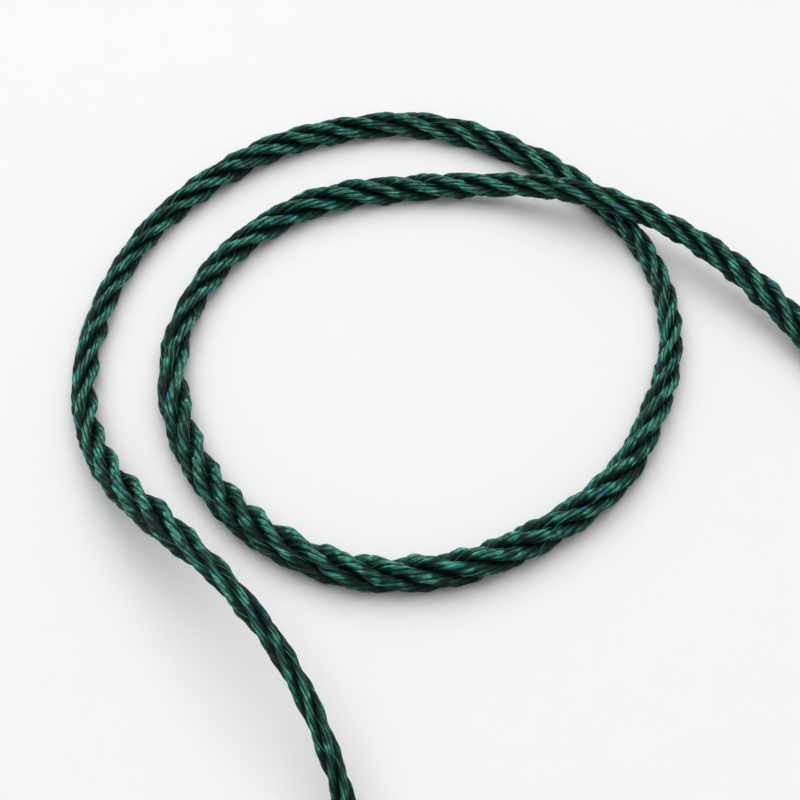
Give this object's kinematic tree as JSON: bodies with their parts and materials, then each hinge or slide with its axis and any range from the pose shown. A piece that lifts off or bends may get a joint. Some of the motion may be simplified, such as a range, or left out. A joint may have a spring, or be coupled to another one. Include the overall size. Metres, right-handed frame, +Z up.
{
  "type": "length of twisted nylon cord",
  "caption": "Cut length of dark green twisted nylon cord lying in a loose loop that crosses over itself, with both ends free, for tying and trimming.",
  "frame": {"origin": "on the table, at the bottom centre of the cord's bounding box", "axes": "+Z up from the table, +X to the right and +Y away from the viewer as the loop is seen in the picture"},
  "size_m": [0.0885, 0.1085, 0.0089],
  "materials": {
    "nylon": "silky dark green multifilament thread, with darker grooves and a few teal and blue yarns"
  },
  "bodies": {
    "root": {"cord": "nylon"}
  },
  "joints": []
}
